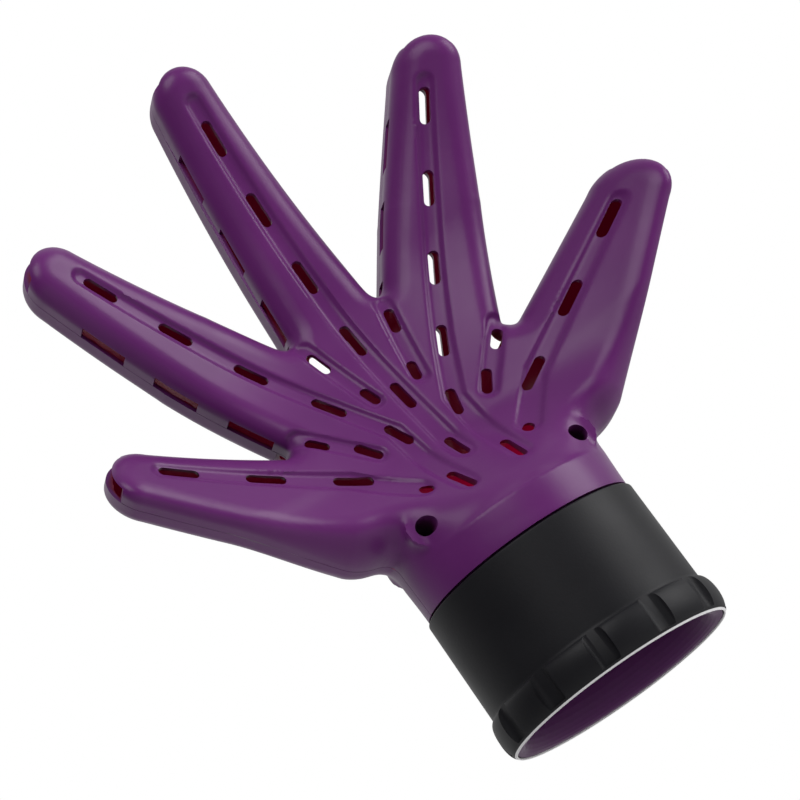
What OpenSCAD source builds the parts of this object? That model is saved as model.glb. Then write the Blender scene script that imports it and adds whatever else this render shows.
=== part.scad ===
// Hair dryer diffuser in the shape of an open, cupped hand.
// The neck stands on its mouth, the neck axis is +Z, and the palm faces -Y.
// The origin is the centre of the mouth, on the end plane of the collar.

/* [Neck and collar] */
// Radius of the straight bore beside the vanes
bore_r = 25.5; // [22:0.5:26.5]
// Wall of the neck tube, on which the collar turns
neck_wall = 3.5; // [3:0.1:4.5]
// How far the mouth flares beyond the bore at its edge
mouth_flare = 4.9; // [4:0.1:5.5]
// Depth of the flared mouth
mouth_depth = 12; // [10:0.5:12]
// How far the bore steps inwards above the vanes, to a ring that guides the nozzle
guide_step = 0.4; // [0.2:0.1:0.8]
// Length of the collar along the neck
collar_len = 40.3; // [39:0.1:50]
// Wall of the collar sleeve just above the grip rim
collar_wall = 2.75; // [2.5:0.05:5]
// Draft of the sleeve, smaller at the top by this much
collar_draft = 0.5; // [0:0.1:0.5]
// Height of the bulged grip rim
rim_h = 11; // [8:0.5:12]
// How far the rim bulges beyond the sleeve
rim_bulge = 2; // [1:0.1:3]
// Number of notches round the rim
notch_count = 12; // [6:1:18]
// Width of each notch
notch_w = 3.5; // [2:0.1:5]
// Running clearance between the neck tube and the collar
collar_fit = 0.08; // [0.02:0.01:0.1]

/* [Grip vanes] */
// Number of vanes round the bore
vane_count = 6; // [4:1:6]
// Height of each vane
vane_h = 19.2; // [12:0.1:20.5]
// Angle round the neck that a vane spans
vane_span = 46; // [38:1:47]
// Swing of a vane when the collar is at its stop
vane_swing = 9; // [5:1:9]
// Turn of the collar that swings the vanes fully
collar_turn = 20; // [12:1:20]
// Radius of the hinge pins
pin_r = 0.7; // [0.5:0.05:0.8]
// Running clearance of a vane on its pin
pin_fit = 0.05; // [0.02:0.01:0.1]

/* [Hand] */
// Height of the middle fingertip above the mouth
hand_h = 205; // [190:1:230]
// Height of the ring and index fingertips
side_tip_h = 179; // [165:1:190]
// Distance of the ring and index fingertips from the middle plane
side_tip_x = 61.5; // [55:0.5:70]
// Height of the thumb and little fingertips
outer_tip_h = 111; // [104:1:120]
// Distance of the thumb and little fingertips from the middle plane
outer_tip_x = 85; // [78:0.5:95]
// Radius of the fingertips
tip_r = 9; // [8:0.1:11]
// How far the palm is set back behind the neck axis
palm_back = 24.5; // [18:0.5:24.5]
// How far the middle fingertip curls forward again
tip_curl = 11; // [0:1:16]
// Depth of the front shell's fingers, from the seam to the flat face
front_d = 10; // [8:0.5:12]
// Depth of the back shell's fingers
back_d = 9; // [8:0.5:12]
// Wall thickness of both shells
wall = 1.8; // [1.5:0.1:2.4]
// Gap at the seam between the shells
seam_gap = 0.1; // [0.05:0.05:0.2]
// How far the wrist stands out from the neck tube where it meets the collar
wrist_wall = 1.6; // [1.4:0.1:3]

/* [Slots and screws] */
// Width of the air slots in the front shell
slot_w = 1.9; // [1.5:0.1:3]
// Length of the air slots
slot_len = 10; // [7:0.5:12]
// Distance between the air slots of a finger
slot_pitch = 21; // [18:0.5:24]
// Radius of the screw holes
screw_hole_r = 2.65; // [2.4:0.05:3]
// Height of the screws above the bottom of the wrist
screw_rise = 16.6; // [15:0.1:19]
// Distance of the screws from the middle plane
screw_x = 23.7; // [22:0.1:25]
// Radius of the screw shanks
screw_r = 1.5; // [1.2:0.1:1.7]

/* [Hidden] */
$fn = 96;
eps = 0.01;

// Colours
plum = [0.37, 0.18, 0.40];
satin_black = [0.13, 0.13, 0.15];
nylon = [0.10, 0.10, 0.11];
steel = [0.62, 0.63, 0.65];

// Neck: the wrist starts just above the collar and clamps a groove below the tube's end
neck_r = bore_r + neck_wall;
mouth_r = bore_r + mouth_flare;
collar_r = neck_r + collar_wall;
wrist_r = neck_r + wrist_wall;
wrist_z = collar_len + 0.7;
lip_wall = 1;
lip_recess = 0.4;
flare_z = 7;
groove_d = 0.4;
groove_z0 = wrist_z + 1;
groove_z1 = groove_z0 + 4.6;
neck_top = groove_z1 + 2.4;
clamp_gap = 0.12;

// Vanes: each hangs on its pin inside a window of the neck wall
window_z0 = mouth_depth + 0.5;
vane_gap = 0.4;
window_z1 = window_z0 + vane_h + 2 * vane_gap;
guide_z = window_z1 + 0.5;
vane_face_r = bore_r + 0.2;
eye_r = pin_r + 0.7;
pin_circle_r = vane_face_r + eye_r;
pin_grip = 2.4;
pin_len = window_z1 - window_z0 + 2 * pin_grip;
pin_seat_fit = 0.02;
vane_wall = 1.6;
recess_depth = 0.8;
recess_r = neck_r + recess_depth;
nose_r = 0.8;
nose_reach = 2.2;
nose_circle_r = recess_r - nose_reach + nose_r;
nose_start = 6.5;
cam_gap = 0.32;
swing_ratio = vane_swing / collar_turn;
window_before = 5;
window_after = 2.5;

// Hand
palm_rise = 90;
curl_from = wrist_z + 99;
screw_h = wrist_z + screw_rise;
wrist_blend = 38;
taper_z = 42;
tip_inset = tip_r;
finger_fn = 18;
outline_fn = 40;

// Eases from 0 to 1
function clamp01(t) = min(max(t, 0), 1);
function ease(t) = pow(clamp01(t), 2) * (3 - 2 * clamp01(t));

// Depth of the seam surface: set back behind the palm, curling forward at the tips and the sides
function seam_y(x, z) = palm_back * ease((z - wrist_z) / palm_rise)
  - tip_curl * pow(max(0, z - curl_from) / (hand_h - curl_from), 2)
  - x * x / (z + 75) * ease((z - wrist_z) / taper_z);

// Half depth of the hand: round at the wrist, flat in the palm
function half_d(z, flat) = flat + (wrist_r - flat) * (1 - ease((z - wrist_z) / wrist_blend));

// Finger stations [x, z, radius], from the palm to the tip
middle_finger = [[0, wrist_z + 57, 16], [0, wrist_z + palm_rise, 13], [0, hand_h - 40, 10.5],
  [0, hand_h - tip_inset, tip_r]];
side_root = [9, wrist_z + 45];
side_len = norm([side_tip_x, side_tip_h] - side_root);
side_dir = ([side_tip_x, side_tip_h] - side_root) / side_len;
function side_at(s, r) = [side_root[0] + s * side_dir[0], side_root[1] + s * side_dir[1], r];
side_finger = [side_at(0, 16), side_at(0.45 * side_len, 13.6), side_at(0.7 * side_len, 12),
  side_at(side_len - tip_inset, tip_r)];
outer_root = [33, wrist_z + 34];
outer_len = norm([outer_tip_x, outer_tip_h] - outer_root);
outer_dir = ([outer_tip_x, outer_tip_h] - outer_root) / outer_len;
function outer_at(s, r) = [outer_root[0] + s * outer_dir[0], outer_root[1] + s * outer_dir[1], r];
outer_finger = [outer_at(0, 18), outer_at(0.25 * outer_len, 16), outer_at(0.5 * outer_len, 13.5),
  outer_at(outer_len - tip_inset, tip_r + 0.5)];
palm_rows = [[17, wrist_z + 27, 13], [23, wrist_z + 38, 15], [20, wrist_z + 50, 14], [11, wrist_z + 62, 13]];
wrist_levels = [for (k = [0, 0.21, 0.45, 0.71, 1]) wrist_z + k * wrist_blend];

// One station of a finger: a pebble, flat in front and behind, rounded at its shoulders, leaning with the seam
module pebble(station, inset) {
  x = station[0];
  z = station[1];
  r = station[2] - inset;
  f = front_d - inset;
  b = back_d - inset;
  lean_x = (seam_y(x + 1, z) - seam_y(x - 1, z)) / 2;
  lean_z = (seam_y(x, z + 1) - seam_y(x, z - 1)) / 2;
  multmatrix([[1, 0, 0, x], [lean_x, 1, lean_z, seam_y(x, z)], [0, 0, 1, z], [0, 0, 0, 1]])
    rotate([90, 0, 0])
      rotate_extrude($fn = finger_fn)
        polygon([[0, -b], [r * 0.55, -b], [r * 0.82, -b * 0.82], [r * 0.97, -b * 0.45], [r, 0],
          [r * 0.97, f * 0.45], [r * 0.82, f * 0.82], [r * 0.55, f], [0, f]]);
}

module finger(stations, inset) {
  for (i = [0 : len(stations) - 2])
    hull() {
      pebble(stations[i], inset);
      pebble(stations[i + 1], inset);
    }
}

// One level of the wrist: round at the collar, flatter towards the palm
module wrist_level(z, inset) {
  flat = (front_d + back_d) / 2;
  translate([0, seam_y(0, z), z])
    linear_extrude(eps)
      scale([wrist_r + 0.4 * ease((z - wrist_z) / 12) - inset, half_d(z, flat) - inset])
        circle(1, $fn = outline_fn);
}

module wrist(inset) {
  for (i = [0 : len(wrist_levels) - 2])
    hull() {
      wrist_level(wrist_levels[i], inset);
      wrist_level(wrist_levels[i + 1], inset);
    }
}

// The whole hand, or with an inset its hollow
module hand(inset) {
  finger(middle_finger, inset);
  wrist(inset);
  for (i = [0 : len(palm_rows) - 2])
    hull()
      for (row = [palm_rows[i], palm_rows[i + 1]], side = [-1, 1])
        pebble([side * row[0], row[1], row[2]], inset);
  for (side = [0, 1])
    mirror([side, 0, 0]) {
      finger(side_finger, inset);
      finger(outer_finger, inset);
    }
}

// Everything in front of the seam surface, shifted by half the seam gap
module seam_side(shift, far_y) {
  nx = 24;
  nz = 22;
  x0 = -outer_tip_x - 20;
  z0 = wrist_z - 10;
  dx = -2 * x0 / nx;
  dz = (hand_h + 10 - z0) / nz;
  near = [for (k = [0 : nz]) for (i = [0 : nx])
    [x0 + i * dx, seam_y(x0 + i * dx, z0 + k * dz) + shift, z0 + k * dz]];
  far = [for (k = [0 : nz]) for (i = [0 : nx]) [x0 + i * dx, far_y, z0 + k * dz]];
  n = (nx + 1) * (nz + 1);
  row = nx + 1;
  sheet = [for (k = [0 : nz - 1]) for (i = [0 : nx - 1])
    each [[k * row + i, k * row + i + 1, (k + 1) * row + i + 1],
      [k * row + i, (k + 1) * row + i + 1, (k + 1) * row + i]]];
  lid = [for (t = sheet) [n + t[2], n + t[1], n + t[0]]];
  rim = concat([for (i = [0 : nx]) i],
    [for (k = [1 : nz]) k * row + nx],
    [for (i = [1 : nx]) nz * row + nx - i],
    [for (k = [1 : nz - 1]) (nz - k) * row]);
  m = len(rim);
  side = [for (i = [0 : m - 1])
    each [[rim[(i + 1) % m], rim[i], n + rim[i]],
      [rim[(i + 1) % m], n + rim[i], n + rim[(i + 1) % m]]]];
  faces = concat(sheet, lid, side);
  polyhedron(concat(near, far), far_y > 0 ? [for (t = faces) [t[2], t[1], t[0]]] : faces);
}

// A stadium slot through one shell, at [x, z], turned by an angle from +Z
module slot_cut(at, turn, length, width, towards) {
  y = seam_y(at[0], at[1]);
  deep = 45;
  translate([at[0], y + towards * 2, at[1]])
    rotate([90 * -towards, 0, 0])
      rotate([0, 0, turn * towards])
        linear_extrude(deep)
          hull() {
            translate([0, (length - width) / 2])
              circle(width / 2, $fn = 16);
            translate([0, -(length - width) / 2])
              circle(width / 2, $fn = 16);
          }
}

// The rows of slots along the five fingers and in the webs
module slots(towards, width) {
  for (z = [hand_h - 22 : -slot_pitch : wrist_z + 50])
    slot_cut([0, z], 0, slot_len, width, towards);
  slot_cut([0, wrist_z + 33], 0, slot_len * 0.8, width, towards);
  side_turn = atan2(side_dir[0], side_dir[1]);
  outer_turn = 60;
  for (side = [-1, 1]) {
    for (s = [side_len - 22.5 : -slot_pitch : 18])
      slot_cut([side * side_at(s, 0)[0], side_at(s, 0)[1]], side * side_turn, slot_len, width, towards);
    slot_cut([side * side_root[0], side_root[1]], side * side_turn * 0.6, slot_len * 0.9, width, towards);
    slot_cut([side * 8.5, wrist_z + 23], side * 4, slot_len * 0.8, width, towards);
    for (s = [21 : slot_pitch : outer_len])
      slot_cut([side * (outer_tip_x - s * sin(outer_turn)), outer_tip_h + 1 - s * cos(outer_turn)],
        side * outer_turn, slot_len, width, towards);
    slot_cut([side * 15.5, wrist_z + 25.5], side * outer_turn, 4, width * 1.5, towards);
    slot_cut([side * 28.5, wrist_z + 54], side * 42, 7, width, towards);
    slot_cut([side * 19, wrist_z + 45], side * 35, 7.5, width, towards);
    slot_cut([side * 11.8, wrist_z + 75.5], side * 14, 7.5, width, towards);
    slot_cut([side * 7.2, wrist_z + 59], side * 14, 6.5, width, towards);
  }
}

// Screw positions in the hand
module at_screws() {
  for (side = [-1, 1])
    translate([side * screw_x, seam_y(screw_x, screw_h), screw_h])
      rotate([90, 0, 0])
        children();
}

boss_r = screw_hole_r + 1.6;
screw_seat = 3;
screw_deep = 12;

// The end of the neck tube, with clamping room round it
module neck_socket() {
  rotate_extrude()
    polygon([[0, wrist_z - 1], [neck_r + clamp_gap, wrist_z - 1],
      [neck_r + clamp_gap, groove_z0 + clamp_gap], [neck_r - groove_d + clamp_gap, groove_z0 + clamp_gap],
      [neck_r - groove_d + clamp_gap, groove_z1 - clamp_gap], [neck_r + clamp_gap, groove_z1 - clamp_gap],
      [neck_r + clamp_gap, neck_top + clamp_gap], [0, neck_top + clamp_gap]]);
}

// The wrist's lower end is thick enough to grip the groove of the tube
module clamp_ring() {
  rotate_extrude()
    polygon([[neck_r - 1, wrist_z], [wrist_r - 0.6, wrist_z], [wrist_r - 0.6, neck_top + 1.2],
      [neck_r - 1, neck_top + 1.2]]);
}

module front_shell() {
  color(plum)
    difference() {
      intersection() {
        union() {
          difference() {
            hand(0);
            hand(wall);
            slots(-1, slot_w);
          }
          clamp_ring();
          intersection() {
            at_screws() cylinder(r = boss_r, h = 40);
            hand(wall / 2);
          }
        }
        seam_side(-seam_gap / 2, -80);
      }
      neck_socket();
      at_screws() translate([0, 0, -5]) cylinder(r = screw_r + 0.2, h = 20, $fn = 24);
      at_screws() translate([0, 0, screw_seat]) cylinder(r = screw_hole_r, h = 60, $fn = 32);
    }
}

module back_shell() {
  color(plum)
    difference() {
      intersection() {
        union() {
          difference() {
            hand(0);
            hand(wall);
            slots(1, slot_w * 1.6);
          }
          clamp_ring();
          intersection() {
            at_screws() translate([0, 0, -40]) cylinder(r = boss_r, h = 40);
            hand(wall / 2);
          }
        }
        seam_side(seam_gap / 2, 80);
      }
      neck_socket();
      at_screws() translate([0, 0, -screw_deep]) cylinder(r = screw_r + 0.02, h = screw_deep + 5, $fn = 24);
    }
}

// Countersunk in the front boss and screwed into the back boss
module screw_body(side) {
  head_h = 2;
  color(steel)
    translate([side * screw_x, seam_y(screw_x, screw_h), screw_h])
      rotate([90, 0, 0])
        difference() {
          union() {
            translate([0, 0, screw_seat]) cylinder(r = screw_hole_r - 0.25, h = head_h);
            translate([0, 0, 1 - screw_deep]) cylinder(r = screw_r, h = screw_deep + screw_seat);
          }
          for (turn = [0, 90])
            rotate([0, 0, turn])
              translate([-1.5, -0.3, screw_seat + 1])
                cube([3, 0.6, 2]);
        }
}

// Bell-mouthed outline of the tube: the flare is a quarter of an ellipse
module neck_outline() {
  bell_d = mouth_depth - lip_recess;
  bell = [for (a = [0 : 10 : 90])
    [bore_r + (mouth_r - bore_r) * (1 - sin(a)), lip_recess + bell_d * (1 - cos(a))]];
  polygon(concat([for (p = bell) p],
    [[bore_r, guide_z], [bore_r - guide_step, guide_z + guide_step], [bore_r - guide_step, neck_top],
      [neck_r, neck_top], [neck_r, groove_z1], [neck_r - groove_d, groove_z1],
      [neck_r - groove_d, groove_z0], [neck_r, groove_z0], [neck_r, flare_z + 2.4],
      [mouth_r + lip_wall, flare_z], [mouth_r + lip_wall, lip_recess]]));
}

module neck_tube() {
  step = 360 / vane_count;
  sweep = vane_span + window_before + window_after;
  color(plum)
    difference() {
      rotate_extrude() neck_outline();
      for (i = [0 : vane_count - 1])
        rotate([0, 0, i * step]) {
          rotate([0, 0, -window_before])
            rotate_extrude(angle = sweep)
              translate([bore_r - 1, window_z0])
                square([neck_r - bore_r + 2, window_z1 - window_z0]);
          translate([pin_circle_r, 0, window_z0 - pin_grip])
            cylinder(r = pin_r + pin_seat_fit, h = pin_len, $fn = 32);
        }
    }
}

module vane_pin(i) {
  end_gap = 0.2;
  color(steel)
    rotate([0, 0, i * 360 / vane_count])
      translate([pin_circle_r, 0, window_z0 - pin_grip + end_gap])
        cylinder(r = pin_r, h = pin_len - 2 * end_gap, $fn = 32);
}

// Where a cam nose passes, seen from the vane that it pushes
function nose_at(t) = nose_circle_r * [cos(nose_start + t), sin(nose_start + t)];
function turned(p, a) = [p[0] * cos(a) - p[1] * sin(a), p[0] * sin(a) + p[1] * cos(a)];
function nose_path(t) = let(p = [pin_circle_r, 0]) p + turned(nose_at(t) - p, -swing_ratio * t);
function pulled_in(p, d) = p * (1 - d / norm(p));

// The vane's back follows the nose path, so that it swings in step with the collar
module vane_outline() {
  face = [for (a = [0 : vane_span / 12 : vane_span]) vane_face_r * [cos(a), sin(a)]];
  cam = [for (t = [0 : collar_turn / 8 : collar_turn + eps]) pulled_in(nose_path(t), nose_r + cam_gap)];
  cam_end = atan2(cam[8][1], cam[8][0]);
  arm_r = vane_face_r + vane_wall;
  arm = [for (k = [1 : 6]) let(a = cam_end + 3 + k * (vane_span - cam_end - 3) / 6) arm_r * [cos(a), sin(a)]];
  polygon(concat([for (i = [len(arm) - 1 : -1 : 0]) arm[i]], [for (i = [8 : -1 : 0]) cam[i]],
    [[pin_circle_r + eye_r * 0.6, eye_r * 0.8]], face));
}

module grip_vane(i) {
  color(nylon)
    rotate([0, 0, i * 360 / vane_count])
      translate([0, 0, window_z0 + vane_gap])
        difference() {
          union() {
            linear_extrude(vane_h) vane_outline();
            translate([pin_circle_r, 0, 0]) cylinder(r = eye_r, h = vane_h, $fn = 48);
          }
          translate([pin_circle_r, 0, -1]) cylinder(r = pin_r + pin_fit, h = vane_h + 2, $fn = 32);
        }
}

// The rim's profile is a circular arc from the end face to the sleeve
module collar_outline() {
  bore = neck_r + collar_fit;
  half = rim_h / 2;
  top_r = collar_r - collar_draft;
  rim = [for (a = [-75 : 15 : 75]) [collar_r + rim_bulge * cos(a), half + half * sin(a) / sin(75)]];
  lip_r = mouth_r + lip_wall + 0.3;
  polygon(concat([[lip_r, 0]], [for (p = rim) p],
    [[top_r, collar_len - 0.8], [top_r - 0.6, collar_len], [bore, collar_len],
      [bore, window_z1], [recess_r, window_z1], [recess_r, window_z0], [bore, window_z0],
      [bore, flare_z + 2.6], [lip_r, flare_z + 0.2]]));
}

module twist_collar() {
  step = 360 / vane_count;
  color(satin_black)
    union() {
      difference() {
        rotate_extrude($fn = 180) collar_outline();
        for (i = [0 : notch_count - 1])
          rotate([0, 0, (i + 0.5) * 360 / notch_count])
            translate([collar_r, -notch_w / 2, 1.2])
              cube([rim_bulge + 2, notch_w, rim_h]);
      }
      for (i = [0 : vane_count - 1])
        rotate([0, 0, i * step + nose_start]) {
          translate([nose_circle_r, 0, window_z0 + vane_gap])
            cylinder(r = nose_r, h = vane_h, $fn = 32);
          translate([nose_circle_r, -nose_r, window_z0 + vane_gap])
            cube([recess_r - nose_circle_r + 0.5, 2 * nose_r, vane_h]);
        }
    }
}

front_shell();
back_shell();
neck_tube();
twist_collar();
grip_vane(0);  // grip_vane_1
grip_vane(1);  // grip_vane_2
grip_vane(2);  // grip_vane_3
grip_vane(3);  // grip_vane_4
grip_vane(4);  // grip_vane_5
grip_vane(5);  // grip_vane_6
vane_pin(0);  // vane_pin_1
vane_pin(1);  // vane_pin_2
vane_pin(2);  // vane_pin_3
vane_pin(3);  // vane_pin_4
vane_pin(4);  // vane_pin_5
vane_pin(5);  // vane_pin_6
screw_body(-1);  // screw_left
screw_body(1);  // screw_right
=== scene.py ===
"""A hand-shaped hair dryer diffuser: two plum shells on a round neck, gripped by a black twist collar."""
import math

import bmesh
import bpy
import numpy as np
from mathutils import Matrix, Vector


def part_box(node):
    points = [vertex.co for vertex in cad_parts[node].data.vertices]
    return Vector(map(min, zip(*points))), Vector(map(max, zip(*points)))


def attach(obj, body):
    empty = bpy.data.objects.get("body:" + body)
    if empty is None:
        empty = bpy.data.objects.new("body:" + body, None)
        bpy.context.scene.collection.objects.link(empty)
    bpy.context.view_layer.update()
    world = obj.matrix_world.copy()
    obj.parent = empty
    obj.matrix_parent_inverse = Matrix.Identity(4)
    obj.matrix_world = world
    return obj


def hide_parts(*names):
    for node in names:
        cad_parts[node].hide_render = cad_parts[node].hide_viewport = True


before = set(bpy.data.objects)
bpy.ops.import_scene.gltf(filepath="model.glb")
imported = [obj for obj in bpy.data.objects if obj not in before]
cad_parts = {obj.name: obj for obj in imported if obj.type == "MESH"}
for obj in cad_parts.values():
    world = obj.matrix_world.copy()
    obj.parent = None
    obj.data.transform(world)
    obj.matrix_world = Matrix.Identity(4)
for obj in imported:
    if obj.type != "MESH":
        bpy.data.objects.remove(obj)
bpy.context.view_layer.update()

MM = 0.001

# ---------------------------------------------------------------- the two shells of the hand
# Two glossy plum mouldings that meet at a seam half way through the fingers and clamp the neck.
# Each is modelled flat, as it would be drawn, and then cupped: the palm is set back and the tips curl
# forward. The slots are cut square to the flat hand, so the mould can open.

collar_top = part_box("twist_collar")[1][2] / MM
wrist_z = collar_top + 0.7
hand_h = 205.0
wrist_r = 30.6
palm_back = 26.0
tip_curl = 11.7
front_d = 11.1
back_d = 12.1
shoulder_r = 7.2
wall = 1.8
seam_gap = 0.24
groove_depth = 1.15
socket_r, socket_top = 29.6, wrist_z + 9.4
front_slot_w, back_slot_w = 2.8, 4.6
boss_x, boss_z, boss_r, boss_top = 23.7, 57.6, 5.2, 16.6
column_r, head_hole_r, shank_hole_r = 4.4, 2.65, 1.7


def ease(t):
    """Goes smoothly from 0 to 1."""
    t = np.clip(t, 0.0, 1.0)
    return t * t * (3 - 2 * t)


def seam_y(x, z):
    """How far the seam stands behind the neck's axis."""
    palm = palm_back * ease((z - wrist_z) / 90)
    curl = tip_curl * (np.maximum(0, z - 140) / (hand_h - 140)) ** 2
    return palm - curl - 0.9 * x * x / (z + 75) * ease((z - wrist_z) / 42)


def blend(a, b, soft):
    """Joins two outlines with a fillet."""
    h = np.clip(0.5 + 0.5 * (b - a) / soft, 0, 1)
    return b + (a - b) * h - soft * h * (1 - h)


def tapered(x, z, stations):
    """Distance from a row of circles [x, z, radius] and the taper between them."""
    best = None
    for (ax, az, ar), (bx, bz, br) in zip(stations, stations[1:]):
        dx, dz = bx - ax, bz - az
        h = np.clip(((x - ax) * dx + (z - az) * dz) / (dx * dx + dz * dz), 0, 1)
        d = np.hypot(x - ax - h * dx, z - az - h * dz) - ar - h * (br - ar)
        best = d if best is None else np.minimum(best, d)
    return best


def along(start, end, share, shift=0.0):
    """A point a share of the way along a finger, or shifted to its outer side."""
    length = math.dist(start, end)
    ux, uz = (end[0] - start[0]) / length, (end[1] - start[1]) / length
    return start[0] + share * length * ux + shift * uz, start[1] + share * length * uz - shift * ux


side_root, side_tip = (9.0, 86.0), (63.0, 176.3)
outer_root, outer_tip = (33.0, 75.0), (83.5, 111.2)


def outline(x, z):
    """The flat hand's outline: negative inside. It is the same on both sides of the middle."""
    x = np.abs(x)
    middle = tapered(x, z, [(0, 98, 16), (0, 128, 12.8), (0, 165, 10.4), (0, hand_h - 8.4, 8.4)])
    side = tapered(x, z, [(*side_root, 16.4), (*along(side_root, side_tip, 0.55), 12.7),
                          (*along(side_root, side_tip, 0.914), 9)])
    outer = tapered(x, z, [(*outer_root, 16.8), (*along(outer_root, outer_tip, 0.842), 9.8)])
    palm = tapered(x, z, [(0, 84, 26), (20, 82, 20)])
    wrist = np.maximum(x - wrist_r - 0.4 * ease((z - wrist_z) / 12), z - 74)
    hand = blend(middle, side, 5.0)
    hand = blend(hand, outer, 4.0)
    return blend(blend(hand, palm, 3.0), wrist, 5.0)


def channel(x, z, points, width_a, width_b):
    """A shallow channel along points, in share of its full depth."""
    d = tapered(x, z, [(px, pz, width_a + (width_b - width_a) * k / (len(points) - 1))
                       for k, (px, pz) in enumerate(points)])
    return ease(0.5 - d / 1.5)


def grooves(x, z):
    """Depth of the channels that hold the slots: one to each finger, and a short one in each web."""
    x = np.abs(x)
    rows = [channel(x, z, [(0, 193), (0, 130), (0, 72)], 2.0, 2.9),
            channel(x, z, [(54.5, 164.9), (34, 130), (18.2, 103.2), (9.4, 87), (8.2, 62)], 2.0, 2.9),
            channel(x, z, [(71.5, 105.2), (47.8, 91.2), (29, 80), (17, 68)], 2.0, 3.0),
            channel(x, z, [(31.5, 99), (17.5, 83.5)], 2.3, 2.3),
            channel(x, z, [(12.6, 121), (7.2, 98)], 2.3, 2.3)]
    return groove_depth * np.maximum.reduce(rows)


def edge_distance(xs, zs):
    """Distance from the outline inwards, on a grid, exact also inside the webs."""
    gx, gz = np.meshgrid(xs, zs, indexing="ij")
    g = outline(gx, gz)
    # Each grid cell that the outline crosses gives one short piece of it
    pieces = []
    corners = [(0, 0), (1, 0), (1, 1), (0, 1)]
    inside = g < 0
    cells = inside[:-1, :-1].astype(int) + inside[1:, :-1] + inside[1:, 1:] + inside[:-1, 1:]
    for i, k in zip(*np.nonzero((cells > 0) & (cells < 4))):
        cut = []
        for (a, b), (c, d) in zip(corners, corners[1:] + corners[:1]):
            p, q = g[i + a, k + b], g[i + c, k + d]
            if (p < 0) != (q < 0):
                t = p / (p - q)
                cut.append((xs[i + a] + t * (xs[i + c] - xs[i + a]), zs[k + b] + t * (zs[k + d] - zs[k + b])))
        if len(cut) == 2:
            pieces.append(cut)
    pieces = np.array(pieces)
    start, run = pieces[:, 0], pieces[:, 1] - pieces[:, 0]
    run2 = np.maximum((run ** 2).sum(1), 1e-9)
    deep = np.nonzero(inside)
    at = np.stack([gx[deep], gz[deep]], 1)
    far = np.empty(len(at))
    for s in range(0, len(at), 1500):
        rel = at[s:s + 1500, None, :] - start[None]
        t = np.clip((rel * run[None]).sum(2) / run2, 0, 1)
        far[s:s + 1500] = np.sqrt(((rel - t[..., None] * run[None]) ** 2).sum(2)).min(1)
    e = -g
    e[deep] = far
    return e


def half_hand(e, x, z, depth, flat, inset):
    """The rounded plate that a shell is: flat in front, with a shoulder all round, round at the wrist."""
    rise = 1 - ease((z - wrist_z) / 39)
    full = flat + (wrist_r - flat) * rise - inset
    round_r = np.maximum(shoulder_r + (wrist_r - shoulder_r) * rise - inset, 2.0)
    a = round_r - (e - inset)
    b = depth + grooves(x, z) - full + round_r
    return np.hypot(np.maximum(a, 0), np.maximum(b, 0)) + np.minimum(np.maximum(a, b), 0) - round_r


def surface(field, xs, ts, zs, name):
    """Wraps a closed quad mesh round where the field is negative."""
    # Where solid corners meet only across a diagonal, one more corner is filled, so no edge is shared by four faces
    for u, v in ((0, 1), (0, 2), (1, 2)) * 3:
        full = [slice(None)] * 3
        sides = []
        for a, b in ((0, 0), (1, 0), (1, 1), (0, 1)):
            part = list(full)
            part[u] = slice(a, field.shape[u] - 1 + a)
            part[v] = slice(b, field.shape[v] - 1 + b)
            sides.append(field[tuple(part)])
        solid = [side < 0 for side in sides]
        crossed = (solid[0] == solid[2]) & (solid[1] == solid[3]) & (solid[0] != solid[1])
        sides[0][crossed & ~solid[0]] = -0.02
        sides[1][crossed & ~solid[1]] = -0.02
    inside = field < 0
    count = sum(inside[i:i + len(xs) - 1, j:j + len(ts) - 1, k:k + len(zs) - 1].astype(np.int8)
                for i in (0, 1) for j in (0, 1) for k in (0, 1))
    cell = np.argwhere((count > 0) & (count < 8))
    index = np.full(count.shape, -1, np.int32)
    index[tuple(cell.T)] = np.arange(len(cell))
    step = xs[1] - xs[0]
    total = np.zeros((len(cell), 3))
    hits = np.zeros(len(cell))
    corner = [(i, j, k) for i in (0, 1) for j in (0, 1) for k in (0, 1)]
    for p in corner:
        for axis in range(3):
            if p[axis]:
                continue
            q = tuple(1 if n == axis else p[n] for n in range(3))
            fp = field[cell[:, 0] + p[0], cell[:, 1] + p[1], cell[:, 2] + p[2]]
            fq = field[cell[:, 0] + q[0], cell[:, 1] + q[1], cell[:, 2] + q[2]]
            cross = (fp < 0) != (fq < 0)
            t = np.where(cross, fp / np.where(cross, fp - fq, 1), 0)
            point = np.array(p) + t[:, None] * (np.array(q) - np.array(p))
            total += point * cross[:, None]
            hits += cross
    verts = (cell + total / hits[:, None]) * step + np.array([xs[0], ts[0], zs[0]])
    quads = []
    for axis in range(3):
        u, v = (axis + 1) % 3, (axis + 2) % 3
        low = [slice(1, -1)] * 3
        low[axis] = slice(0, -1)
        high = [slice(1, -1)] * 3
        high[axis] = slice(1, None)
        a, b = inside[tuple(low)], inside[tuple(high)]
        for flip in (False, True):
            base = np.argwhere((a & ~b) if not flip else (~a & b))
            off = np.ones(3, int)
            off[axis] = 0
            base = base + off
            du, dv = np.eye(3, dtype=int)[u], np.eye(3, dtype=int)[v]
            ring = [base - du - dv, base - dv, base, base - du]
            if flip:
                ring = ring[::-1]
            quads.append(np.stack([index[tuple(r.T)] for r in ring], 1))
    quads = np.concatenate(quads)
    mesh = bpy.data.meshes.new(name)
    mesh.vertices.add(len(verts))
    mesh.vertices.foreach_set("co", verts.ravel())
    mesh.loops.add(quads.size)
    mesh.loops.foreach_set("vertex_index", quads.ravel())
    mesh.polygons.add(len(quads))
    mesh.polygons.foreach_set("loop_start", np.arange(0, quads.size, 4))
    mesh.update(calc_edges=True)
    piece = bpy.data.objects.new(name, mesh)
    bpy.context.collection.objects.link(piece)
    return piece


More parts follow.
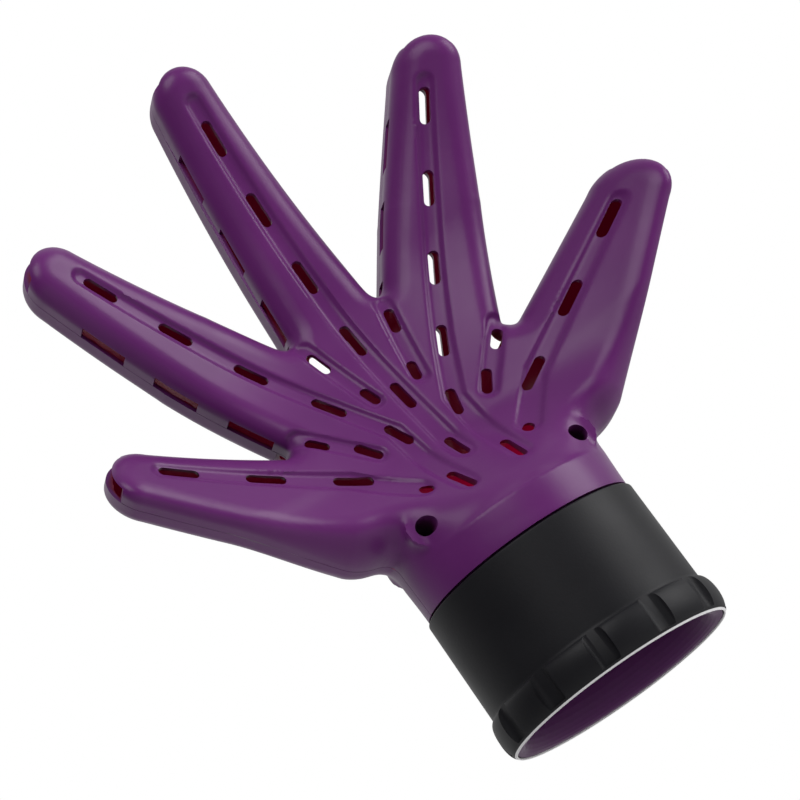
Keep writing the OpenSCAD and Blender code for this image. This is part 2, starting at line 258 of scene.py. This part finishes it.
grid = 0.62
xs = np.arange(-89.9, 90.0, grid)
zs = np.arange(wrist_z - 4, hand_h + 2, grid)
edge = edge_distance(xs, zs)
X3, Z3, E3 = xs[:, None, None], zs[None, None, :], edge[:, None, :]


def shell_blank(name, towards, flat):
    """The solid blank of one shell, which runs a little past the seam."""
    spare = 2.5
    low, high = (-wrist_r - 1.5, spare + 1.3) if towards < 0 else (-spare - 1.3, wrist_r + 1.5)
    ts = np.arange(low, high, grid)
    T3 = ts[None, :, None]
    depth = towards * T3
    body = half_hand(E3, X3, Z3, depth, flat, 0.0)
    cone = np.hypot(X3, T3) - wrist_r + 0.1 + 0.95 * np.maximum(Z3 - socket_top - 0.4, 0)
    body = blend(body, 0.85 * cone, 0.3 + 6 * ease((Z3 - socket_top + 1) / 9))
    boss = np.maximum(np.hypot(np.abs(X3) - boss_x, Z3 - boss_z) - boss_r, depth - boss_top)
    body = blend(body, boss, 1.2)
    body = np.maximum(body, np.maximum(-depth - spare, wrist_z - 2.5 - Z3))
    return surface(body.astype(np.float32), xs, ts, zs, name)


def hollow_blank():
    """The air chamber inside the hand, with the screw columns left standing."""
    step = 1.0
    cx = np.arange(-89.5, 90.0, step)
    cz = np.arange(wrist_z + 4, hand_h + 2, step)
    ct = np.arange(-wrist_r - 1, wrist_r + 1, step)
    ex = np.searchsorted(xs, cx).clip(0, len(xs) - 1)
    ez = np.searchsorted(zs, cz).clip(0, len(zs) - 1)
    e = edge[np.ix_(ex, ez)][:, None, :]
    x, t, z = cx[:, None, None], ct[None, :, None], cz[None, None, :]
    front = half_hand(e, x, z, -t, front_d, wall)
    back = half_hand(e, x, z, t, back_d, wall)
    body = np.where(t < 0, front, back)
    column = column_r - np.hypot(np.abs(x) - boss_x, z - boss_z)
    body = np.maximum(body, np.maximum(column, socket_top + 1.4 - z))
    return surface(body.astype(np.float32), cx, ct, cz, "hollow")


def plain_mesh(piece, name):
    """The evaluated piece as a plain mesh object at the origin."""
    deps = bpy.context.evaluated_depsgraph_get()
    mesh = bpy.data.meshes.new_from_object(piece.evaluated_get(deps))
    mesh.name = name
    plain = bpy.data.objects.new(name, mesh)
    bpy.context.collection.objects.link(plain)
    bpy.data.objects.remove(piece)
    return plain


def start_tree(name, inputs):
    """A geometry tree with its sockets: a geometry, the inputs named here, and a material."""
    tree = bpy.data.node_groups.new(name, "GeometryNodeTree")
    face = tree.interface
    face.new_socket("Geometry", in_out="INPUT", socket_type="NodeSocketGeometry")
    for label, kind in inputs:
        face.new_socket(label, in_out="INPUT", socket_type="NodeSocket" + kind)
    face.new_socket("Material", in_out="INPUT", socket_type="NodeSocketMaterial")
    face.new_socket("Geometry", in_out="OUTPUT", socket_type="NodeSocketGeometry")
    return tree, tree.nodes.new("NodeGroupInput")


def times(tree, value, factor):
    """The value times a fixed factor."""
    node = tree.nodes.new("ShaderNodeMath")
    node.operation = "MULTIPLY"
    node.inputs[1].default_value = factor
    tree.links.new(value, node.inputs[0])
    return node.outputs[0]


def finish_with_pegs(tree, given, points, section, corner, corner_steps, height, rotation=None):
    """Stands a closed peg of a rounded rectangular section on every point, and ends the tree."""
    new, link = tree.nodes.new, tree.links.new
    outline_curve = new("GeometryNodeCurvePrimitiveQuadrilateral")
    link(section[0], outline_curve.inputs["Width"])
    link(section[1], outline_curve.inputs["Height"])
    rounded = new("GeometryNodeFilletCurve")
    rounded.mode = "POLY"
    rounded.inputs["Count"].default_value = corner_steps
    link(outline_curve.outputs[0], rounded.inputs["Curve"])
    link(corner, rounded.inputs["Radius"])
    fill = new("GeometryNodeFillCurve")
    fill.mode = "NGONS"
    link(rounded.outputs[0], fill.inputs["Curve"])
    push = new("GeometryNodeExtrudeMesh")
    push.inputs["Individual"].default_value = False
    link(fill.outputs[0], push.inputs["Mesh"])
    link(height, push.inputs["Offset Scale"])
    turn = new("GeometryNodeFlipFaces")
    link(fill.outputs[0], turn.inputs[0])
    both = new("GeometryNodeJoinGeometry")
    link(push.outputs["Mesh"], both.inputs[0])
    link(turn.outputs[0], both.inputs[0])
    weld = new("GeometryNodeMergeByDistance")
    weld.inputs["Distance"].default_value = 1e-4
    link(both.outputs[0], weld.inputs["Geometry"])
    place = new("GeometryNodeInstanceOnPoints")
    link(points, place.inputs["Points"])
    link(weld.outputs[0], place.inputs["Instance"])
    if rotation:
        link(rotation, place.inputs["Rotation"])
    real = new("GeometryNodeRealizeInstances")
    link(place.outputs[0], real.inputs[0])
    paint = new("GeometryNodeSetMaterial")
    link(real.outputs[0], paint.inputs["Geometry"])
    link(given.outputs["Material"], paint.inputs["Material"])
    link(paint.outputs[0], new("NodeGroupOutput").inputs[0])


def slot_row_tree():
    """Cutters for a row of slots with round ends, one pitch apart, down the row's own -Y."""
    tree, given = start_tree("slot_row", (("Count", "Int"), ("Pitch", "Float"), ("Length", "Float"),
                                          ("Width", "Float"), ("Depth", "Float")))
    offset = tree.nodes.new("ShaderNodeCombineXYZ")
    tree.links.new(times(tree, given.outputs["Pitch"], -1), offset.inputs["Y"])
    row = tree.nodes.new("GeometryNodeMeshLine")
    row.mode = "OFFSET"
    tree.links.new(given.outputs["Count"], row.inputs["Count"])
    tree.links.new(offset.outputs[0], row.inputs["Offset"])
    finish_with_pegs(tree, given, row.outputs[0], (given.outputs["Width"], given.outputs["Length"]),
                     times(tree, given.outputs["Width"], 0.499), 7, given.outputs["Depth"])
    return tree


def run_tree(tree, name, values):
    """Runs a tree on an empty mesh and gives the plain result."""
    holder = bpy.data.objects.new(name, bpy.data.meshes.new(name))
    bpy.context.collection.objects.link(holder)
    made = holder.modifiers.new("tree", "NODES")
    made.node_group = tree
    for item in tree.interface.items_tree:
        if item.in_out == "INPUT" and item.name in values:
            made[item.identifier] = values[item.name]
    return plain_mesh(holder, name)


def mirrored(rows):
    """The same rows on the left and on the right of the middle finger."""
    return [((side * x, z), side * turn, *rest) for side in (-1, 1) for (x, z), turn, *rest in rows]


# Rows of slots in the flat hand: first slot, turn from upright in degrees, count, length, pitch
front_slots = [((0, 182.6), 0, 4, 10.5, 22.0), ((0, 95.4), 0, 1, 9.5, 1), ((0, 74.0), 0, 1, 8, 1)] + mirrored([
    ((51.5, 159.8), 30.4, 4, 9.8, 22.0),
    ((8.8, 85.9), 18, 1, 8.6, 1),
    ((8.1, 63.5), 5, 1, 8.5, 1),
    ((67.3, 102.8), 59.5, 3, 10.6, 22.6),
    ((16.0, 66.8), 60, 1, 3.6, 1),
    ((28.4, 94.5), 42, 1, 6.5, 1),
    ((18.7, 85.7), 35, 1, 7.8, 1),
    ((11.8, 115.7), 14, 1, 7.6, 1),
    ((7.0, 100.0), 14, 1, 6.2, 1)])
# The back's slots sit further up the fingers than the front's, so air leaves at a slant
back_slots = [((0, 187.6), 0, 3, 10.5, 22.0)] + mirrored([
    ((56.3, 165.3), 30.4, 4, 11.6, 22.0),
    ((64.5, 100.5), 60, 3, 10, 22.3),
    ((33.6, 98.4), 42, 1, 6, 1),
    ((3.9, 120.8), 0, 1, 8, 1),
    ((8.3, 66.0), 5, 1, 8.5, 1)])


def slot_cutters(rows, width, towards, tree):
    """All the slot cutters of a shell, each row turned and placed in the flat hand."""
    cutters = []
    upright = Matrix.Rotation(math.radians(90), 4, "X")
    for (x, z), turn, count, length, pitch in rows:
        row = run_tree(tree, "slots", {"Count": count, "Pitch": pitch, "Length": length, "Width": width,
                                       "Depth": 44.0})
        if towards > 0:
            row.data.transform(Matrix.Translation((0, 0, -44.8)))
        else:
            row.data.transform(Matrix.Translation((0, 0, 0.8)))
        row.data.transform(Matrix.Translation((x, 0, z)) @ Matrix.Rotation(math.radians(turn), 4, "Y") @ upright)
        cutters.append(row)
    return cutters


def prism(name, points, low, high):
    """A closed prism on an (x, z) outline, from low to high along Y."""
    n = len(points)
    verts = [(x, low, z) for x, z in points] + [(x, high, z) for x, z in points]
    faces = [tuple(range(n)), tuple(range(2 * n - 1, n - 1, -1))]
    faces += [(i, n + i, n + (i + 1) % n, (i + 1) % n) for i in range(n)]
    mesh = bpy.data.meshes.new(name)
    mesh.from_pydata(verts, [], faces)
    piece = bpy.data.objects.new(name, mesh)
    bpy.context.collection.objects.link(piece)
    fix_normals(piece)
    return piece


def fix_normals(piece):
    """Turns every face outwards."""
    work = bmesh.new()
    work.from_mesh(piece.data)
    bmesh.ops.recalc_face_normals(work, faces=work.faces)
    work.to_mesh(piece.data)
    work.free()


def disc(x, z, r, n=48):
    """A round outline of n points."""
    return [(x + r * math.cos(2 * math.pi * k / n), z + r * math.sin(2 * math.pi * k / n)) for k in range(n)]


def cut(piece, cutters):
    """Cuts the piece with closed cutters, one after another."""
    for tool in cutters:
        step = piece.modifiers.new("cut", "BOOLEAN")
        step.operation = "DIFFERENCE"
        step.object = tool
        step.solver = "MANIFOLD"
    name = piece.name
    done = plain_mesh(piece, name)
    for tool in cutters:
        bpy.data.objects.remove(tool)
    return done


def joined(cutters, name):
    """One object from cutters that don't touch each other."""
    verts, faces = [], []
    for tool in cutters:
        base = len(verts)
        verts += [tuple(v.co) for v in tool.data.vertices]
        faces += [tuple(base + i for i in f.vertices) for f in tool.data.polygons]
        bpy.data.objects.remove(tool)
    mesh = bpy.data.meshes.new(name)
    mesh.from_pydata(verts, [], faces)
    piece = bpy.data.objects.new(name, mesh)
    bpy.context.collection.objects.link(piece)
    return piece


tip_vent_w, tip_vent_len, tip_vent_high = 30, 8.4, 7.4
side_vent_w, side_vent_len, side_vent_high = 9, 13, 5.4
first_side_vent, side_vent_pitch = 27, 22


def seam_vents():
    """Notches in the front shell's edge: a wide one round each fingertip and short ones down the sides."""
    tools = []

    def block(cx, cz, turn, across, length, high):
        half_a, half_l = across / 2, length / 2
        c, s = math.cos(math.radians(turn)), math.sin(math.radians(turn))
        points = [(cx + a * c + l * s, cz - a * s + l * c)
                  for a, l in ((-half_a, -half_l), (half_a, -half_l), (half_a, half_l), (-half_a, half_l))]
        tools.append(prism("vent", points, -high, 1.0))

    # Each finger's root, tip, half width and number of side vents
    fingers = [((0, 98), (0, hand_h), 10.6, 3)]
    for s in (-1, 1):
        fingers.append(((s * side_root[0], side_root[1]), (s * side_tip[0], side_tip[1]), 12.0, 3))
        fingers.append(((s * outer_root[0], outer_root[1]), (s * outer_tip[0], outer_tip[1]), 13.0, 0))
    for root, tip, half_w, count in fingers:
        length = math.dist(root, tip)
        ux, uz = (tip[0] - root[0]) / length, (tip[1] - root[1]) / length
        turn = math.degrees(math.atan2(ux, uz))
        block(tip[0] + 0.6 * ux, tip[1] + 0.6 * uz, turn, tip_vent_w, tip_vent_len, tip_vent_high)
        for k in range(count):
            back = first_side_vent + side_vent_pitch * k
            cx, cz = tip[0] - back * ux, tip[1] - back * uz
            for side in (-1, 1):
                block(cx + side * half_w * uz, cz - side * half_w * ux, turn,
                      side_vent_w, side_vent_len, side_vent_high)
    return tools


def cup(piece):
    """Bends the flat shell into the cupped hand, and brings it to metres."""
    co = np.empty(len(piece.data.vertices) * 3)
    piece.data.vertices.foreach_get("co", co)
    co = co.reshape(-1, 3)
    co[:, 1] += seam_y(co[:, 0], co[:, 2])
    piece.data.vertices.foreach_set("co", (co * MM).ravel())
    piece.data.update()


def mark_depth(piece, towards, flat, most):
    """Stores how deep under the outer skin each point lies, from 0 on the skin to most on the inside."""
    co = np.empty(len(piece.data.vertices) * 3)
    piece.data.vertices.foreach_get("co", co)
    co = co.reshape(-1, 3)
    i = ((co[:, 0] - xs[0]) / grid).clip(0, len(xs) - 1.001)
    k = ((co[:, 2] - zs[0]) / grid).clip(0, len(zs) - 1.001)
    i0, k0 = i.astype(int), k.astype(int)
    u, v = i - i0, k - k0
    e = (edge[i0, k0] * (1 - u) * (1 - v) + edge[i0 + 1, k0] * u * (1 - v)
         + edge[i0, k0 + 1] * (1 - u) * v + edge[i0 + 1, k0 + 1] * u * v)
    f = half_hand(e, co[:, 0], co[:, 2], towards * co[:, 1], flat, 0.0)
    layer = piece.data.attributes.new("inside", "FLOAT", "POINT")
    layer.data.foreach_set("value", (most * np.clip((-f - 0.35) / 0.9, 0, 1)).astype(np.float32))


def smooth_with_edges(piece, angle=32):
    """Smooth shading that keeps the cut edges crisp."""
    piece.data.shade_smooth()
    piece.data.set_sharp_from_angle(angle=math.radians(angle))


def new_material(name):
    """A material, its skin shader and the object's own coordinates."""
    mat = bpy.data.materials.new(name)
    mat.use_nodes = True
    tree = mat.node_tree
    return mat, tree, tree.nodes["Principled BSDF"], tree.nodes.new("ShaderNodeTexCoord").outputs["Object"]


def noise(tree, spot, scale, detail, roughness=0.5):
    """Noise from 0 to 1 at a point."""
    node = tree.nodes.new("ShaderNodeTexNoise")
    node.inputs["Scale"].default_value = scale
    node.inputs["Detail"].default_value = detail
    node.inputs["Roughness"].default_value = roughness
    tree.links.new(spot, node.inputs["Vector"])
    return node.outputs["Fac"]


def two_tone(tree, value, low, high, start=0.0, end=1.0):
    """A colour that goes from low to high."""
    node = tree.nodes.new("ShaderNodeValToRGB")
    for stop, place, colour in zip(node.color_ramp.elements, (start, end), (low, high)):
        stop.position = place
        stop.color = (*colour, 1)
    tree.links.new(value, node.inputs["Fac"])
    return node.outputs["Color"]


def spread(tree, value, start, end, low, high):
    """A value that goes from low to high while the given one goes from start to end."""
    node = tree.nodes.new("ShaderNodeMapRange")
    for label, number in (("From Min", start), ("From Max", end), ("To Min", low), ("To Max", high)):
        node.inputs[label].default_value = number
    tree.links.new(value, node.inputs["Value"])
    return node.outputs["Result"]


def mixed(tree, factor, colour, other):
    """A colour that turns into a fixed other one."""
    node = tree.nodes.new("ShaderNodeMix")
    node.data_type = "RGBA"
    node.inputs["B"].default_value = (*other, 1)
    tree.links.new(factor, node.inputs["Factor"])
    tree.links.new(colour, node.inputs["A"])
    return node.outputs["Result"]


def height_of(tree, spot):
    """How far a point lies above the mouth, in metres."""
    node = tree.nodes.new("ShaderNodeSeparateXYZ")
    tree.links.new(spot, node.inputs[0])
    return node.outputs["Z"]


def bumps(tree, skin, value, strength, distance):
    """A fine relief on the skin."""
    node = tree.nodes.new("ShaderNodeBump")
    node.inputs["Strength"].default_value = strength
    node.inputs["Distance"].default_value = distance
    tree.links.new(value, node.inputs["Height"])
    tree.links.new(node.outputs["Normal"], skin.inputs["Normal"])


def plum_plastic(name, painted_inner_light, share=1.0, gloss=0.22):
    """Moulded plum plastic: faint flow marks and orange peel, a dark maroon painted on the inner surfaces as
    painted light and shade inside the plastic, and a painted red glow near the wrist.
    """
    mat, tree, skin, spot = new_material(name)
    link = tree.links.new
    skin.inputs["IOR"].default_value = 1.5
    skin.inputs["Specular IOR Level"].default_value = gloss
    dark = [share * c for c in (0.106, 0.0155, 0.121)]
    light = [share * c for c in (0.122, 0.0195, 0.137)]
    colour = two_tone(tree, noise(tree, spot, 38, 4), dark, light, 0.3, 0.7)
    if painted_inner_light:
        inside = tree.nodes.new("ShaderNodeAttribute")
        inside.attribute_name = "inside"
        # Painted light and shade: the inner surfaces, deeper under the skin, are tinted dark maroon for the red
        # light inside the plastic and the shade in the slots and chamber.
        colour = mixed(tree, inside.outputs["Fac"], colour, (0.13, 0.002, 0.022))
        # A painted glow: the back's inner side emits a dim red light, most of it near the wrist, for the light that
        # comes through the plastic.
        painted_glow = tree.nodes.new("ShaderNodeMath")
        painted_glow.operation = "MULTIPLY"
        link(spread(tree, height_of(tree, spot), 0.06, 0.078, 0.5, 0.05), painted_glow.inputs[0])
        link(spread(tree, inside.outputs["Fac"], 0.86, 1, 0, 1), painted_glow.inputs[1])
        link(painted_glow.outputs[0], skin.inputs["Emission Strength"])
        skin.inputs["Emission Color"].default_value = (0.5, 0.0, 0.045, 1)
    link(colour, skin.inputs["Base Color"])
    link(spread(tree, noise(tree, spot, 95, 6, 0.65), 0.3, 0.75, 0.3, 0.4), skin.inputs["Roughness"])
    bumps(tree, skin, noise(tree, spot, 520, 2), 0.06, 0.0004)
    return mat


shell_plastic = plum_plastic("shell_plastic", True)
slot_tree = slot_row_tree()
hollow = hollow_blank()
for name, towards, flat, rows, width in (("front_shell", -1, front_d, front_slots, front_slot_w),
                                         ("back_shell", 1, back_d, back_slots, back_slot_w)):
    blank = shell_blank(name + "_skin", towards, flat)
    chamber = bpy.data.objects.new("chamber", hollow.data.copy())
    bpy.context.collection.objects.link(chamber)
    edge_face = towards * seam_gap / 2
    keep_out = prism("seam_cut", [(-120, 0), (120, 0), (120, 260), (-120, 260)],
                     min(edge_face, -towards * 30), max(edge_face, -towards * 30))
    below = prism("wrist_cut", [(-60, wrist_z - 20), (60, wrist_z - 20), (60, wrist_z), (-60, wrist_z)], -60, 60)
    socket_mesh = prism("socket", disc(0, 0, socket_r, 128), wrist_z - 20, socket_top)
    socket_mesh.data.transform(Matrix.Rotation(math.radians(90), 4, "X"))
    fix_normals(socket_mesh)
    tools = [chamber, keep_out, below, socket_mesh]
    tools.append(joined(slot_cutters(rows, width, towards, slot_tree), "all_slots"))
    if towards < 0:
        tools += seam_vents()
        for s in (-1, 1):
            tools.append(prism("head_hole", disc(s * boss_x, boss_z, head_hole_r), -60, -3))
            tools.append(prism("shank_hole", disc(s * boss_x, boss_z, shank_hole_r), -60, 10))
    shell = cut(blank, tools)
    # The back's depth mask reaches 1, so only the back gets the painted glow; both shells get the painted maroon
    # inside.
    mark_depth(shell, towards, flat, 1.0 if towards > 0 else 0.85)
    cup(shell)
    smooth_with_edges(shell)
    shell.data.materials.clear()
    shell.data.materials.append(shell_plastic)
    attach(shell, "hand")
    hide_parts(name)
bpy.data.objects.remove(hollow)

# ---------------------------------------------------------------- neck tube
# One plum moulding with a bell mouth, which the collar turns on and the shells clamp.
# Only the mouth shows; six windows higher up let the grip vanes through.

def repaint(node, mat):
    """Gives a piece that is kept from the frame its material."""
    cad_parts[node].data.materials.clear()
    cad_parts[node].data.materials.append(mat)


# The neck's plum is painted at half brightness, as painted shade for the dim bore.
repaint("neck_tube", plum_plastic("neck_plastic_shaded", False, share=0.5, gloss=0.12))

# ---------------------------------------------------------------- twist collar
# A satin black sleeve with a bulged grip rim, cut by notches for the fingers.
# It is moulded in one piece, with cam noses inside that push the vanes.


def satin_black(name, low, high, rim_highlight_top=0.0):
    """Moulded black plastic with a fine grain and a little rubbing, and a pale band painted up to a height as a
    painted highlight on the mouth's rim.
    """
    mat, tree, skin, spot = new_material(name)
    link = tree.links.new
    skin.inputs["Specular IOR Level"].default_value = 0.16
    cloud = noise(tree, spot, 45, 5)
    colour = two_tone(tree, cloud, (0.0082, 0.0080, 0.0098), (0.0125, 0.0122, 0.0148))
    if rim_highlight_top:
        # Painted highlight: a pale band at the bottom of the mouth rim, where the rim's edge catches the light.
        painted_rim_highlight = spread(tree, height_of(tree, spot), rim_highlight_top, rim_highlight_top + 0.00008, 1.0, 0.0)
        colour = mixed(tree, painted_rim_highlight, colour, (0.8, 0.79, 0.8))
    link(colour, skin.inputs["Base Color"])
    link(spread(tree, cloud, 0.3, 0.7, low, high), skin.inputs["Roughness"])
    bumps(tree, skin, noise(tree, spot, 1400, 2), 0.12, 0.0002)
    return mat


def revolve(name, outline_rz, steps):
    """A closed ring from a closed outline of (radius, height), in millimetres."""
    n = len(outline_rz)
    verts, faces = [], []
    for k in range(steps):
        c, q = math.cos(2 * math.pi * k / steps), math.sin(2 * math.pi * k / steps)
        verts += [(r * c, r * q, z) for r, z in outline_rz]
        m = (k + 1) % steps
        faces += [(k * n + i, m * n + i, m * n + (i + 1) % n, k * n + (i + 1) % n) for i in range(n)]
    mesh = bpy.data.meshes.new(name)
    mesh.from_pydata(verts, [], faces)
    piece = bpy.data.objects.new(name, mesh)
    bpy.context.collection.objects.link(piece)
    fix_normals(piece)
    return piece


def notch_ring_tree():
    """Upright cutters with rounded corners, spaced evenly round the neck."""
    tree, given = start_tree("notch_ring", (("Count", "Int"), ("Radius", "Float"), ("Width", "Float"),
                                            ("Reach", "Float"), ("Corner", "Float"), ("Height", "Float")))
    ring = tree.nodes.new("GeometryNodeMeshCircle")
    tree.links.new(given.outputs["Count"], ring.inputs["Vertices"])
    tree.links.new(given.outputs["Radius"], ring.inputs["Radius"])
    share = tree.nodes.new("ShaderNodeMath")
    share.operation = "DIVIDE"
    tree.links.new(tree.nodes.new("GeometryNodeInputIndex").outputs[0], share.inputs[0])
    tree.links.new(given.outputs["Count"], share.inputs[1])
    spin = tree.nodes.new("ShaderNodeCombineXYZ")
    tree.links.new(times(tree, share.outputs[0], 2 * math.pi), spin.inputs["Z"])
    finish_with_pegs(tree, given, ring.outputs[0], (given.outputs["Reach"], given.outputs["Width"]),
                     given.outputs["Corner"], 5, given.outputs["Height"], spin.outputs[0])
    return tree


rim_r, rim_h, rim_bulge, notches = 31.75, 10.6, 2.0, 12
rim = [(rim_r + rim_bulge * math.cos(math.radians(a)),
        0.25 + (rim_h - 0.25) * (0.5 + 0.5 * math.sin(math.radians(a)) / math.sin(math.radians(78))))
       for a in range(-78, 79, 6)]
top_edge = [(collar_top - 0.5 + 0.5 * math.sin(math.radians(a)), 30.85 + 0.5 * math.cos(math.radians(a)))
            for a in range(0, 91, 15)]
collar_rz = ([(31.72, 0.12), (31.84, 0.0), (32.0, 0.0)] + rim
             + [(31.95, rim_h + 0.12), (31.8, rim_h + 0.4), (31.74, rim_h + 1.0)]
             + [(r, z) for z, r in top_edge]
             + [(29.2, collar_top), (29.08, collar_top - 0.15), (29.08, 32.5), (29.8, 32.5), (29.8, 12.5),
                (29.08, 12.5), (29.08, 9.6), (31.7, 7.2)])
notch_tree = notch_ring_tree()
collar = revolve("collar", collar_rz, 360)
cutters = run_tree(notch_tree, "notches", {"Count": notches, "Radius": rim_r + 2.35, "Width": 6.4, "Reach": 4.4,
                                           "Corner": 2.1, "Height": 14.0})
cutters.data.transform(Matrix.Translation((0, 0, 1.0)) @ Matrix.Rotation(math.radians(12.4), 4, "Z"))
collar = cut(collar, [cutters])
noses = run_tree(notch_tree, "noses", {"Count": 6, "Radius": 28.9, "Width": 1.6, "Reach": 2.58,
                                       "Corner": 0.78, "Height": 19.2})
noses.data.transform(Matrix.Translation((0, 0, 12.9)) @ Matrix.Rotation(math.radians(6.5), 4, "Z"))
collar = joined([collar, noses], "collar")
collar.data.transform(Matrix.Scale(MM, 4))
smooth_with_edges(collar, 30)
# The pale band under 0.42 mm is a painted highlight on the mouth's edge.
collar.data.materials.append(satin_black("collar_plastic", 0.42, 0.52, 0.00042))
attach(collar, "collar")
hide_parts("twist_collar")

# ---------------------------------------------------------------- grip vanes and their pins
# Six curved nylon vanes swing inwards on steel pins and hold the dryer's barrel.

vane_nylon = satin_black("vane_nylon", 0.5, 0.6)


def bright_steel(name, rough):
    """Drawn steel, with fine lines along its length."""
    mat, tree, skin, spot = new_material(name)
    skin.inputs["Metallic"].default_value = 1.0
    stretch = tree.nodes.new("ShaderNodeMapping")
    stretch.inputs["Scale"].default_value = (900, 900, 60)
    tree.links.new(spot, stretch.inputs["Vector"])
    lines = noise(tree, stretch.outputs["Vector"], 3, 3)
    tree.links.new(two_tone(tree, lines, (0.42, 0.43, 0.45), (0.6, 0.61, 0.63)), skin.inputs["Base Color"])
    tree.links.new(spread(tree, lines, 0, 1, rough, rough + 0.2), skin.inputs["Roughness"])
    return mat


pin_steel = bright_steel("pin_steel", 0.2)
for i in range(1, 7):
    repaint(f"grip_vane_{i}", vane_nylon)
    repaint(f"vane_pin_{i}", pin_steel)

# ---------------------------------------------------------------- screws
# Two small zinc-plated screws, deep in the holes at each side of the wrist.

screw_steel = bright_steel("screw_steel", 0.35)
repaint("screw_left", screw_steel)
repaint("screw_right", screw_steel)

# ---------------------------------------------------------------- studio
# A pale floor well below, a bright even surround, and soft boxes for the gloss.

floor_mesh = bpy.data.meshes.new("floor")
floor_mesh.from_pydata([(-4, -4, -0.42), (4, -4, -0.42), (4, 4, -0.42), (-4, 4, -0.42)], [], [(0, 1, 2, 3)])
floor = bpy.data.objects.new("floor", floor_mesh)
bpy.context.collection.objects.link(floor)
paper, paper_tree, paper_skin, _ = new_material("paper")
paper_skin.inputs["Base Color"].default_value = (0.82, 0.82, 0.82, 1)
paper_skin.inputs["Roughness"].default_value = 0.9
seen_paper = paper_tree.nodes.new("ShaderNodeLightPath").outputs["Is Camera Ray"]
paper_tree.links.new(times(paper_tree, seen_paper, 0.4), paper_skin.inputs["Emission Strength"])
floor_mesh.materials.append(paper)

target = Vector((-0.0034, 0.0016, 0.0934))
azimuth, elevation, roll = map(math.radians, (-19.5, -13.24, -35.51))
away = Vector((math.sin(azimuth) * math.cos(elevation), -math.cos(azimuth) * math.cos(elevation),
               math.sin(elevation)))
lens_data = bpy.data.cameras.new("camera")
lens_data.lens = 190.4
lens_data.sensor_width = 36
lens_data.clip_start = 0.01
camera = bpy.data.objects.new("camera", lens_data)
camera.location = target + 1.0857 * away
look = (-away).to_track_quat("-Z", "Y").to_matrix().to_4x4() @ Matrix.Rotation(roll, 4, "Z")
camera.rotation_euler = look.to_euler()
bpy.context.collection.objects.link(camera)
bpy.context.scene.camera = camera

# The surround is white behind the object and dim on the side the camera stands
world = bpy.data.worlds.new("studio")
world.use_nodes = True
wn, wl = world.node_tree.nodes, world.node_tree.links.new
sky = wn["Background"]
sky.inputs["Color"].default_value = (1, 1, 1, 1)
way = wn.new("ShaderNodeTexCoord")
facing = wn.new("ShaderNodeVectorMath")
facing.operation = "DOT_PRODUCT"
wl(way.outputs["Generated"], facing.inputs[0])
facing.inputs[1].default_value = tuple(-away)
shade = wn.new("ShaderNodeMapRange")
shade.interpolation_type = "SMOOTHSTEP"
shade.inputs["From Min"].default_value = -0.35
shade.inputs["From Max"].default_value = 0.75
shade.inputs["To Min"].default_value = 0.06
shade.inputs["To Max"].default_value = 0.65
wl(facing.outputs["Value"], shade.inputs["Value"])
seen = wn.new("ShaderNodeLightPath")
either = wn.new("ShaderNodeMix")
wl(seen.outputs["Is Camera Ray"], either.inputs["Factor"])
wl(shade.outputs["Result"], either.inputs["A"])
either.inputs["B"].default_value = 1.0
wl(either.outputs["Result"], sky.inputs["Strength"])
bpy.context.scene.world = world
bpy.context.scene.view_settings.view_transform = "Standard"


def soft_box(name, towards, size, power):
    """A square soft box 1.2 m from the object, in the direction given in the object's own frame."""
    lamp = bpy.data.lights.new(name, "AREA")
    lamp.size = size
    lamp.energy = power
    box = bpy.data.objects.new(name, lamp)
    box.location = target + 1.2 * Vector(towards).normalized()
    box.rotation_euler = (target - box.location).to_track_quat("-Z", "Y").to_euler()
    bpy.context.collection.objects.link(box)


soft_box("key", (0.85, -0.40, 0.30), 0.8, 11)
soft_box("top", (-0.22, -0.66, 0.70), 0.8, 9)
